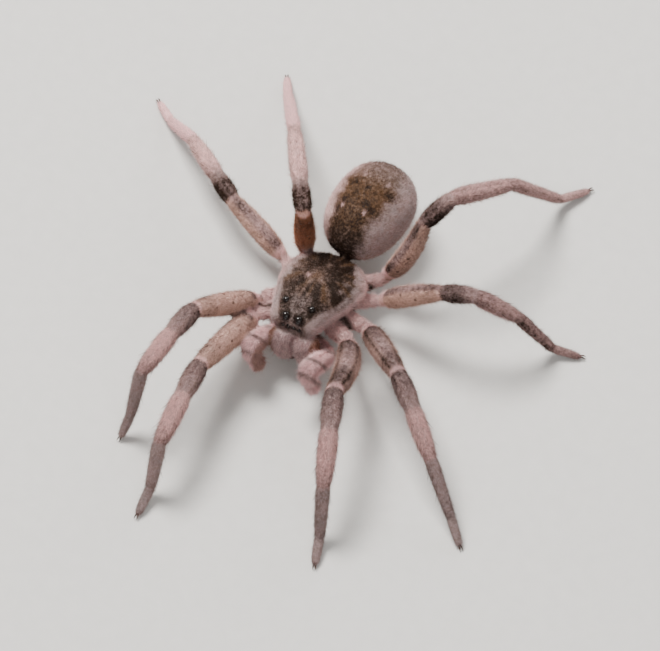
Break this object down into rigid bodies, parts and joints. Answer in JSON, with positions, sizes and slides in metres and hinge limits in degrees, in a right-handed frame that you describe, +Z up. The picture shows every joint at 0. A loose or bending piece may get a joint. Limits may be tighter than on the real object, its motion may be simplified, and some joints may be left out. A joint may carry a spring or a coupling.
{
  "type": "wolf spider",
  "caption": "Still life-size wolf spider standing on its feet with bent legs spread wide, a domed shield over head and thorax, and an oval abdomen held level behind.",
  "frame": {"origin": "on the floor, under the middle of the bounding box", "axes": "+Z up; the head faces -Y; the spider's left side is +X"},
  "size_m": [0.0402, 0.0422, 0.0098],
  "materials": {
    "carapace": "short flat hair over a dark shield, pale at the edge",
    "abdomen": "short velvety hair, dark mottled back, pinkish grey flanks",
    "spinnerets": "short fine hair",
    "breastplate": "satin dark brown skin with sparse hair",
    "leg_bases": "short pale hair over tan skin",
    "legs": "short pinkish grey hair over tan skin, darker bands",
    "palps": "short pinkish white hair",
    "jaws": "grey-beige hair over brown skin",
    "fangs": "hard glossy horn, almost black",
    "eyes": "smooth, glossy, black"
  },
  "bodies": {
    "root": {"abdomen": "abdomen", "carapace": "carapace", "chelicera_left": "jaws", "chelicera_right": "jaws", "coxae_left": "leg_bases", "coxae_right": "leg_bases", "eye_anterior_lateral_left": "eyes", "eye_anterior_lateral_right": "eyes", "eye_anterior_median_left": "eyes", "eye_anterior_median_right": "eyes", "eye_posterior_lateral_left": "eyes", "eye_posterior_lateral_right": "eyes", "eye_posterior_median_left": "eyes", "eye_posterior_median_right": "eyes", "fang_left": "fangs", "fang_right": "fangs", "leg_1_left_femur": "legs", "leg_1_left_metatarsus": "legs", "leg_1_left_patella": "legs", "leg_1_left_tarsus": "legs", "leg_1_left_tibia": "legs", "leg_1_right_femur": "legs", "leg_1_right_metatarsus": "legs", "leg_1_right_patella": "legs", "leg_1_right_tarsus": "legs", "leg_1_right_tibia": "legs", "leg_2_left_femur": "legs", "leg_2_left_metatarsus": "legs", "leg_2_left_patella": "legs", "leg_2_left_tarsus": "legs", "leg_2_left_tibia": "legs", "leg_2_right_femur": "legs", "leg_2_right_metatarsus": "legs", "leg_2_right_patella": "legs", "leg_2_right_tarsus": "legs", "leg_2_right_tibia": "legs", "leg_3_left_femur": "legs", "leg_3_left_metatarsus": "legs", "leg_3_left_patella": "legs", "leg_3_left_tarsus": "legs", "leg_3_left_tibia": "legs", "leg_3_right_femur": "legs", "leg_3_right_metatarsus": "legs", "leg_3_right_patella": "legs", "leg_3_right_tarsus": "legs", "leg_3_right_tibia": "legs", "leg_4_left_femur": "legs", "leg_4_left_metatarsus": "legs", "leg_4_left_patella": "legs", "leg_4_left_tarsus": "legs", "leg_4_left_tibia": "legs", "leg_4_right_femur": "legs", "leg_4_right_metatarsus": "legs", "leg_4_right_patella": "legs", "leg_4_right_tarsus": "legs", "leg_4_right_tibia": "legs", "palp_left": "palps", "palp_right": "palps", "spinnerets": "spinnerets", "sternum": "breastplate"}
  },
  "joints": []
}
